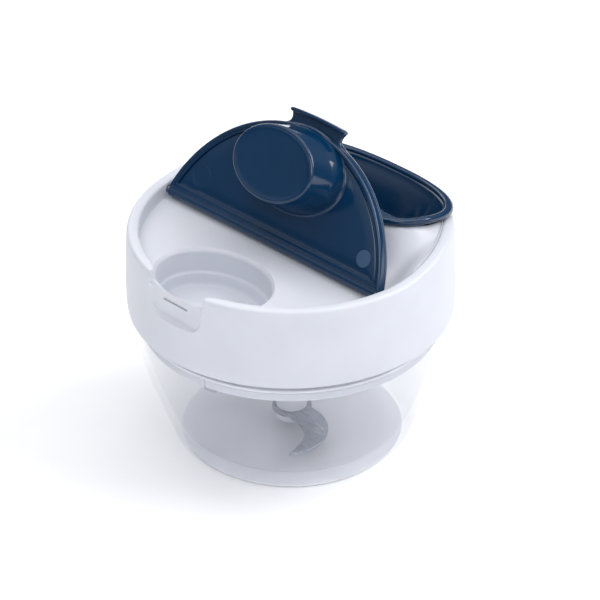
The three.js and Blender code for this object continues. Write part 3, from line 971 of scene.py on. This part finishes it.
        cover = turned("inner_skirt", [
            (6.2, 49, 0.4), (56.3, 49, 0.8), (57, 49.9, 0.5), (57, 52.6, 0.2), (55.9, 52.6, 0.1), (55.9, 55.2, 0.1),
            (57, 55.2, 0.2), (57, 63, 0.4), (54.8, 63, 0.4), (54.8, 51.1, 0.8), (6.2, 51.1, 0.3),
        ], True, 192)
        for deg in (20, 160, 200, 340):
            x, y = 48.5 * math.cos(math.radians(deg)), 48.5 * math.sin(math.radians(deg))
            work(cover, turned("sink", [(3.2, 48), (3.2, 50.2)], n=48, x=x, y=y), Cut.TAKE)
            work(cover, turned("hole", [(1.4, 48), (1.4, 53)], n=32, x=x, y=y), Cut.TAKE)
        put(cover, "head", finishes.white, ["head_bottom_cover"])
        band = [(56.2, 52.9, 0.3), (57.9, 53.3, 0.4), (57.9, 54.5, 0.4), (56.2, 54.9, 0.3)]
        seal = turned("lip_seal", band, True, 192)
        put(seal, "head", finishes.rubber, ["head_gasket"])
        flange = [
            (1.6, -1.3, 0.3), (2.1, -1.8, 0.4), (4.2, -1.8, 0.2), (4.2, 1.3, 0.3), (2.1, 1.3, 0.5), (1.6, 0.8, 0.3),
        ]
        grommet = placed(turned("cord_grommet", flange, True, 64), g.along_pull(g.eyelet()))
        put(grommet, "head", finishes.grey, ["cord_eyelet"])


# ---------- handle ----------


@dataclass
class PullHandle:
    """The navy oval handle with its rolled rim, front ledge and finger cup, and its cord. Sizes in mm."""

    grip: GripShape
    cord_r: float = 1.0

    def build(self, finishes: Finishes) -> None:
        """Makes the handle and the cord that it pulls out."""
        g = self.grip
        rim = g.rim
        down = lambda d: (lambda x, y: rim(x, y) - d)
        blend = lambda f, up: (lambda x, y: g.floor_z + up + (rim(x, y) - g.rim_h - g.floor_z - up) * f)
        rings = [g.ring(g.draft + 12, g.bottom_z), g.ring(g.draft + 4.4, g.bottom_z),
                 g.ring(g.draft + 3.0, g.bottom_z + 0.25), g.ring(g.draft + 1.9, g.bottom_z + 1.1)]
        rings += [g.ring(mix(g.draft + 1.8, 2.1, f), (lambda x, y, f=f: g.bottom_z + 1.2 + (
            rim(x, y) - g.rim_h - g.bottom_z - 1.2) * f)) for f in (0.1, 0.3, 0.5, 0.7, 0.9)]
        rings += [g.ring(i, down(d)) for i, d in (
            (2.1, 2.75), (2.0, 2.62), (0.9, 2.6), (0.45, 2.5), (0.14, 2.2), (0.0, 1.8), (0.0, 1.2), (0.08, 0.8),
            (0.3, 0.42), (0.65, 0.17), (1.1, 0.04), (1.6, 0.0), (2.1, 0.05), (2.6, 0.2), (2.95, 0.45), (3.2, 0.8),
            (3.32, 1.3), (3.4, 1.75), (3.6, 1.95))]
        step = g.ledge_drop
        rings += [g.cup(3.8, down(step), mix(8, g.ledge_y, f)) for f in (0.85, 0.96)]
        rings += [g.cup(3.9, down(step + 0.05), g.ledge_y), g.cup(4.05, down(step + 0.3), g.ledge_y + 0.25),
                  g.cup(4.2, down(step + 0.8), g.ledge_y + 0.4)]
        rings += [g.cup(mix(4.3, g.draft + 4.6, 1 - f), blend(f, 2.2), mix(g.ledge_y + 0.5, g.ledge_y + 3, 1 - f))
                  for f in (0.85, 0.7, 0.55, 0.4, 0.25, 0.12)]
        rings += [g.cup(g.draft + more, g.floor_z + up, g.ledge_y + back)
                  for more, up, back in ((4.9, 1.9, 3.2), (5.9, 0.7, 4.2), (7.4, 0.12, 5.6), (9.5, 0, 7.4))]
        handle = skin("navy_pull_handle", rings, sharp=42)
        bore = turned("bore", [(1.6, -4), (1.6, 6)], n=48)
        work(handle, placed(bore, g.along_pull(g.eyelet() + g.pull() * 4.5)), Cut.TAKE, 42)
        put(handle, "handle", finishes.navy, ["pull_handle"])
        self.cord(finishes)

    def cord(self, finishes: Finishes) -> None:
        """Makes the cord from the reel to its knot, which stretches between head and handle."""
        g = self.grip
        pull, eye = g.pull(), g.eyelet()
        tangent = math.acos(26.9 / eye.y)
        leave = Vector((26.9 * math.sin(tangent), 26.9 * math.cos(tangent), 59.4))
        halfway = leave.lerp(eye, 0.5)
        halfway.z = 61.6
        marks = [leave, halfway, eye + Vector((1.2, -1.6, -3.4)), eye - pull * 0.6]
        path = [Vector(p) for p in marks]
        fine: list[Vector] = []
        for i in range(len(path) - 1):
            a, b = path[max(i - 1, 0)], path[i]
            c, d = path[i + 1], path[min(i + 2, len(path) - 1)]
            for k in range(14):
                t = k / 14
                fine.append(0.5 * (2 * b + (c - a) * t + (2 * a - 5 * b + 4 * c - d) * t * t
                                   + (3 * b - a - 3 * c + d) * t**3))
        fine += [eye + pull * s for s in np.linspace(-0.6, 7.2, 50)]
        radii = [self.cord_r] * len(fine)
        for k in range(1, 15):
            bead = k / 14 * math.pi
            fine.append(eye + pull * (8.6 - 2.1 * math.cos(bead) * 0.98))
            radii.append(max(0.15, 2.1 * math.sin(bead)) if k < 14 else 0.15)
        rings = []
        side = Vector((1, 0, 0))
        for i, p in enumerate(fine):
            ahead = (fine[min(i + 1, len(fine) - 1)] - fine[max(i - 1, 0)]).normalized()
            side = (side - ahead * side.dot(ahead)).normalized()
            up = ahead.cross(side)
            rings.append(np.array([
                tuple(p + (side * math.cos(q) + up * math.sin(q)) * radii[i])
                for q in np.linspace(0, 2 * math.pi, 16, endpoint=False)]))
        cord = skin("braided_pull_cord", rings)
        cord.data.materials.append(finishes.cord)
        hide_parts("pull_cord", "handle_cord_end")
        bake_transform(cord)
        LOG.info("%s: bends between head and handle", cord.name)


# ---------- lid ----------


@dataclass
class FlipLid:
    """The half-moon flip lid, drawn shut about its hinge axis and turned open. Sizes in mm."""

    axis_y: float = -9.65
    axis_z: float = 87.2
    open_deg: float = 120.6
    arc_r: float = 55.8
    arc_y: float = 11.4
    chord_y: float = -1.2
    rim_w: float = 2.6
    tab_half: float = 13.7
    tab_end: float = -48.7
    plug_y: float = -28.4
    face_y: float = -28.75
    face_a: float = 19.5
    face_b: float = 14.1
    root_a: float = 22.5
    root_b: float = 15.6
    drop: float = 16.9

    def outline(
        self, inset: float, z: float, tab: bool = False, tab_inset: float = 0.0, chord: float | None = None
    ) -> Ring:
        """The half-moon, pulled in by an inset and with or without its tab.

        Args:
            inset: how far in, in mm.
            z: its height in the lid's own frame.
            tab: whether it runs out round the tab.
            tab_inset: how far in the tab's own edge lies.
            chord: where the straight side lies, if not at the usual place.

        Returns:
            The ring, always with the same number of points.
        """
        r = self.arc_r - inset
        cy = self.chord_y - inset if chord is None else chord
        half = math.sqrt(r * r - (self.arc_y - cy) ** 2)
        first = math.atan2(cy - self.arc_y, half)
        neck = math.acos((self.tab_half + 2.5) / self.arc_r)
        side = np.linspace(first, -neck, 70)
        pts = [np.stack([np.linspace(-half, half, 60, endpoint=False), np.full(60, cy)], 1)]
        pts.append(np.stack([r * np.cos(side), self.arc_y + r * np.sin(side)], 1))
        if tab:
            w = self.tab_half
            edge_y = self.arc_y - self.arc_r * math.sin(neck)
            i = tab_inset
            corners = [(w + 2.5, edge_y), (w - 0.6 - i, edge_y - 1.2, 2.2), (w - 1.4 - i, edge_y - 3.2, 1.5),
                       (w - i, self.tab_end + 0.8 + i, 0.6), (w - 1.2 - i, self.tab_end + 0.1 + i, 0.6)]
            bow = [(x, self.tab_end - 0.5 * (1 - (x / w) ** 2) + i) for x in np.linspace(w * 0.8, -w * 0.8, 9)]
            path = corners + bow + [(-c[0], *c[1:]) for c in reversed(corners)]
            line = rounded(path, steps=6)
            gaps = np.concatenate([[0], np.cumsum(np.linalg.norm(np.diff(line, axis=0), axis=1))])
            at = np.linspace(0, gaps[-1], 92)[1:-1]
            pts.append(np.stack([np.interp(at, gaps, line[:, 0]), np.interp(at, gaps, line[:, 1])], 1))
        else:
            mid = np.linspace(-neck, -math.pi + neck, 92)[1:-1]
            pts.append(np.stack([r * np.cos(mid), self.arc_y + r * np.sin(mid)], 1))
        other = np.linspace(-math.pi + neck, -math.pi - first, 70)[:-1]
        pts.append(np.stack([r * np.cos(other), self.arc_y + r * np.sin(other)], 1))
        flat = np.concatenate(pts)
        return np.column_stack([flat, np.full(len(flat), float(z))])

    def opened(self, piece: bpy.types.Object) -> bpy.types.Object:
        """Turns a piece from the lid's own frame to where it rests, open."""
        turn = Matrix.Rotation(math.radians(-self.open_deg), 4, "X")
        return placed(piece, Matrix.Translation((0, self.axis_y, self.axis_z)) @ turn)

    def cover(self) -> bpy.types.Object:
        """Returns the outer cover: face, tab, raised rim and hinge bar."""
        line = self.outline
        rings = [
            line(6, 2.3), line(3, 2.3), line(0.9, 2.3, True, 0.9), line(0.45, 2.22, True, 0.45),
            line(0.15, 2.0, True, 0.15), line(0, 1.6, True), line(0, 0.95, True), line(0, 0.65, True, 0.25),
            line(0.05, 0.5, True, 1.2),
            line(0.1, 0.45), line(0.1, 0.1), line(0.06, -1.4), line(0.1, -1.8), line(0.28, -2.12), line(0.6, -2.28),
            line(1.0, -2.3), line(1.35, -2.26), line(1.5, -2.05), line(1.6, -1.7), line(1.75, -1.5), line(2.2, -1.46),
            line(2.45, -1.36), line(2.6, -1.1), line(2.6, 0.2), line(2.9, 0.3), line(6, 0.3),
        ]
        cover = skin("navy_lid_cover", rings, sharp=38)
        bar = [(0.8, -54), (1.9, -54), (2.3, -53.6, 0.4), (2.3, 53.6, 0.4), (1.9, 54), (0.8, 54)]
        tube = placed(turned("bar", bar, n=64), Matrix.Rotation(math.radians(90), 4, "Y"))
        work(cover, tube, Cut.ADD, 38)
        strip = rounded([(-0.4, 1.9, 0.3), (-2.75, 1.9, 0.3), (-2.75, -2.1, 0.35), (-0.4, -2.1, 0.3)], True, 4)
        beam = skin("beam", [np.array([(x, a, b) for a, b in strip]) for x in (-53.4, -53.1, 53.1, 53.4)])
        work(cover, beam, Cut.ADD, 38)
        lip_z = rounded([(0.0, -0.9, 0.5), (1.6, -0.9, 0.5), (1.6, 2.28, 0.5), (0.0, 2.28, 0.5)], True, 4)
        lip = []
        for x in np.linspace(-1, 1, 25):
            reach = self.tab_half * x
            shrink = 0.35 if abs(x) > 0.985 else 0.0
            base = self.tab_end - 0.5 * (1 - x * x) + 0.02
            mid = lip_z.mean(0)
            lip.append(np.array([
                (reach, base + mid[0] + (a - mid[0]) * (1 - shrink), mid[1] + (b - mid[1]) * (1 - shrink))
                for a, b in lip_z
            ]))
        work(cover, skin("lip", lip), Cut.ADD, 38)
        hollow = skin("space", [
            circle(self.root_a + 0.3, z, 128, 0, self.plug_y, self.root_b + 0.3) for z in (-5, 0.32)
        ])
        work(cover, hollow, Cut.TAKE, 38)
        for side in (-1, 1):
            bore = turned("bore", [(1.5, 46), (1.5, 60)], n=48)
            placed(bore, Matrix.Rotation(math.radians(side * 90), 4, "Y"))
            work(cover, bore, Cut.TAKE, 38)
        return self.opened(cover)

    def liner(self) -> bpy.types.Object:
        """Returns the inner liner: its plate, its ring mark and the plug."""
        inset = self.rim_w + 0.3
        line = lambda more, z: self.outline(inset + more, z, chord=-3.15 - more)
        plate = skin("navy_lid_liner", [
            line(5, -0.02), line(0.4, -0.02), line(0.1, -0.1), line(0, -0.3), line(0, -0.75), line(0.12, -1.05),
            line(0.4, -1.2), line(5, -1.2),
        ], sharp=38)
        profile = [
            (-2, -0.05), (0.9, -0.05, 0.1), (1.2, -1.25, 0.3), (0.6, -1.55, 0.3), (0.1, -2.4, 0.8), (-0.35, -6, 3),
        ]
        rings = [
            circle(self.root_a + o, z, 192, 0, self.plug_y, self.root_b + o) for o, z in rounded(profile, steps=5)
        ]
        for f in np.linspace(0.12, 1, 12):
            a = mix(self.root_a - 0.4, self.face_a, f ** 0.85)
            b = mix(self.root_b - 0.4, self.face_b, f ** 0.85)
            rings.append(circle(a, mix(-6, -self.drop + 0.95, f), 192, 0, mix(self.plug_y, self.face_y, f), b))
        for o, z in ((-0.06, 0.62), (-0.24, 0.32), (-0.5, 0.12), (-0.85, 0.0), (-1.2, -0.02), (-1.45, 0.06),
                     (-1.7, 0.14), (-3, 0.16), (-8, 0.2)):
            rings.append(circle(self.face_a + o, -self.drop + z + 0.02, 192, 0, self.face_y, self.face_b + o))
        plug = skin("plug", rings, sharp=38)
        work(plate, plug, Cut.ADD, 38)
        inner = skin("inner", [
            circle(self.face_a - 2.4, -self.drop + 2, 96, 0, self.face_y, self.face_b - 2.4),
            circle(mix(self.face_a, self.root_a, 0.6) - 2, -6, 96, 0, self.plug_y,
                   mix(self.face_b, self.root_b, 0.6) - 2),
            circle(self.root_a - 2.2, 1, 96, 0, self.plug_y, self.root_b - 2.2),
        ])
        work(plate, inner, Cut.TAKE, 38)
        bead = [(3.85, -1.0), (3.95, -1.27, 0.05), (4.15, -1.27, 0.05), (4.25, -1.0)]
        ring = turned("mark", bead, True, 64, -41.5, -10.3)
        work(plate, ring, Cut.ADD, 38)
        return self.opened(plate)

    def mark(self) -> bpy.types.Object:
        """Returns the low matt disc that an ejector pad left at the right corner of the liner."""
        profile = [(3.2, -1.15), (3.25, -1.3, 0.05), (3.1, -1.34, 0.05), (1.0, -1.34)]
        return self.opened(turned("matt_liner_mark", profile, n=64, x=42.6, y=-9.6))

    def build(self, finishes: Finishes) -> None:
        """Makes the lid's two mouldings and its hinge pins."""
        put(self.cover(), "lid", finishes.navy, ["lid_cover"])
        put(self.liner(), "lid", finishes.navy, ["lid_liner"])
        put(self.mark(), "lid", finishes.matt_navy, ["lid_liner"])
        for side, name in ((-1, "hinge_pin_left"), (1, "hinge_pin_right")):
            pin = turned(f"smooth_{name}", [(0.6, 46.4), (1.2, 46.4, 0.25), (1.2, 59.2, 0.25), (0.6, 59.2)], n=48)
            placed(pin, Matrix.Rotation(math.radians(side * 90), 4, "Y"))
            put(self.opened(pin), "lid", finishes.steel, [name])


# ---------- studio ----------

HEAD_MIDDLE, BOWL_MIDDLE = (0, 0, 0.07), (0, 0, 0.03)
# Each soft box: name, place and size in metres, watts, and the point it faces.
SOFT_BOXES = (
    ("key_back", (0.9, 1.0, 1.3), (1.4, 1.0), 22, HEAD_MIDDLE),
    ("key_right", (1.5, -0.3, 0.8), (1.0, 0.9), 3, HEAD_MIDDLE),
    ("fill_front", (0.3, -1.1, 1.3), (1.2, 0.6), 6, HEAD_MIDDLE),
    ("fill_low", (0.8, -0.9, 0.22), (1.2, 0.4), 1.6, BOWL_MIDDLE),
    ("top", (-0.3, 0.2, 1.8), (1.6, 1.4), 9, HEAD_MIDDLE),
    ("fill_left", (-1.4, 0.5, 0.8), (0.9, 1.1), 5, HEAD_MIDDLE),
)


@dataclass
class Studio:
    """Camera, floor and lights. Lengths in metres."""

    azimuth: float = 44.4
    elevation: float = 32.5
    roll: float = -0.29
    lens: float = 196.53
    eye: tuple[float, float, float] = (0.73096, -0.74166, 0.72032)

    def camera(self) -> None:
        """Makes the camera."""
        a, e, w = (math.radians(v) for v in (self.azimuth, self.elevation, self.roll))
        back = Vector((math.sin(a) * math.cos(e), -math.cos(a) * math.cos(e), math.sin(e)))
        right = Vector((math.cos(a), math.sin(a), 0))
        up = back.cross(right)
        x = right * math.cos(w) + up * math.sin(w)
        y = up * math.cos(w) - right * math.sin(w)
        data = bpy.data.cameras.new("camera")
        data.lens, data.sensor_width = self.lens, 36.0
        data.clip_start, data.clip_end = 0.05, 20.0
        camera = bpy.data.objects.new("camera", data)
        camera.matrix_world = Matrix.Translation(self.eye) @ Matrix((x, y, back)).transposed().to_4x4()
        bpy.context.scene.collection.objects.link(camera)
        bpy.context.scene.camera = camera

    def lamp(
        self, name: str, place: Sequence[float], size: Sequence[float], power: float, aim: Sequence[float]
    ) -> None:
        """Adds one soft box.

        Args:
            name: its name.
            place: where it is.
            size: its width and height.
            power: its power in watts.
            aim: the point it faces.
        """
        data = bpy.data.lights.new(name, "AREA")
        data.shape, data.size, data.size_y, data.energy = "RECTANGLE", size[0], size[1], power
        lamp = bpy.data.objects.new(name, data)
        lamp.location = place
        lamp.rotation_mode = "QUATERNION"
        lamp.rotation_quaternion = (Vector(place) - Vector(aim)).to_track_quat("Z", "Y")
        bpy.context.scene.collection.objects.link(lamp)

    def build(self, finishes: Finishes) -> None:
        """Makes the floor, the soft sky and the soft boxes."""
        scene = bpy.context.scene
        scene.view_settings.view_transform = "Standard"
        self.camera()
        mesh = bpy.data.meshes.new("floor")
        mesh.from_pydata([(-6, -6, 0), (6, -6, 0), (6, 6, 0), (-6, 6, 0)], [], [(0, 1, 2, 3)])
        floor = bpy.data.objects.new("floor", mesh)
        mesh.materials.append(finishes.paper)
        scene.collection.objects.link(floor)
        floor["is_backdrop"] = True
        world = bpy.data.worlds.new("sky")
        world.use_nodes = True
        scene.world = world
        tree = world.node_tree
        place = node(tree, "ShaderNodeTexCoord").outputs["Generated"]
        split = node(tree, "ShaderNodeSeparateXYZ", {}, {"Vector": place})
        ramp = node(tree, "ShaderNodeValToRGB", {}, {"Fac": split.outputs["Z"]})
        ramp.color_ramp.elements[0].position, ramp.color_ramp.elements[1].position = 0.2, 0.75
        ramp.color_ramp.elements[0].color = (0.16, 0.17, 0.19, 1)
        ramp.color_ramp.elements[1].color = (1.0, 1.0, 1.02, 1)
        sky = tree.nodes["Background"]
        tree.links.new(ramp.outputs["Color"], sky.inputs["Color"])
        sky.inputs["Strength"].default_value = 0.72
        for name, lamp_at, size, watts, aim in SOFT_BOXES:
            self.lamp(name, lamp_at, size, watts, aim)


# ---------- whole object ----------


class FoodProcessor:
    """The whole object: detailed pieces, and finishes on the CAD nodes that stay."""

    def __init__(self, finishes: Finishes) -> None:
        """Keeps the finishes and makes the sub-assemblies."""
        self.finishes = finishes
        grip = GripShape()
        self.parts = [Bowl(), BladeSet(), Head(grip), PullHandle(grip), FlipLid()]

    def dress_rest(self) -> None:
        """Gives each CAD node that stays its finish."""
        f = self.finishes
        dress = {
            f.steel: ["cover_screw_1", "cover_screw_2", "cover_screw_3", "cover_screw_4", "axle_pin", "clutch_pawl_1",
                      "clutch_pawl_2", "spring_cover"],
            f.spring: ["recoil_spring"],
            f.grey: ["drive_hub", "cord_reel"],
            f.wound: ["wound_cord"],
        }
        for material, names in dress.items():
            for name in names:
                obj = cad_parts[name]
                obj.data.materials.clear()
                obj.data.materials.append(material)
                LOG.info("%s: finished as %s", name, material.name)

    def build(self) -> None:
        """Builds every part in order."""
        for part in self.parts:
            part.build(self.finishes)
        self.dress_rest()


def write_sizes() -> None:
    """Works out the CAD box and the visual model's box."""
    low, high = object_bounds()
    sizes = {"cad": [list(CAD_BOX[0]), list(CAD_BOX[1])], "visual": [list(low), list(high)]}


def main() -> None:
    """Builds the studio and the object."""
    logging.basicConfig(level=logging.INFO, format="%(message)s")
    finishes = Finishes()
    Studio().build(finishes)
    FoodProcessor(finishes).build()
    write_sizes()


if __name__ == "__main__":
    main()
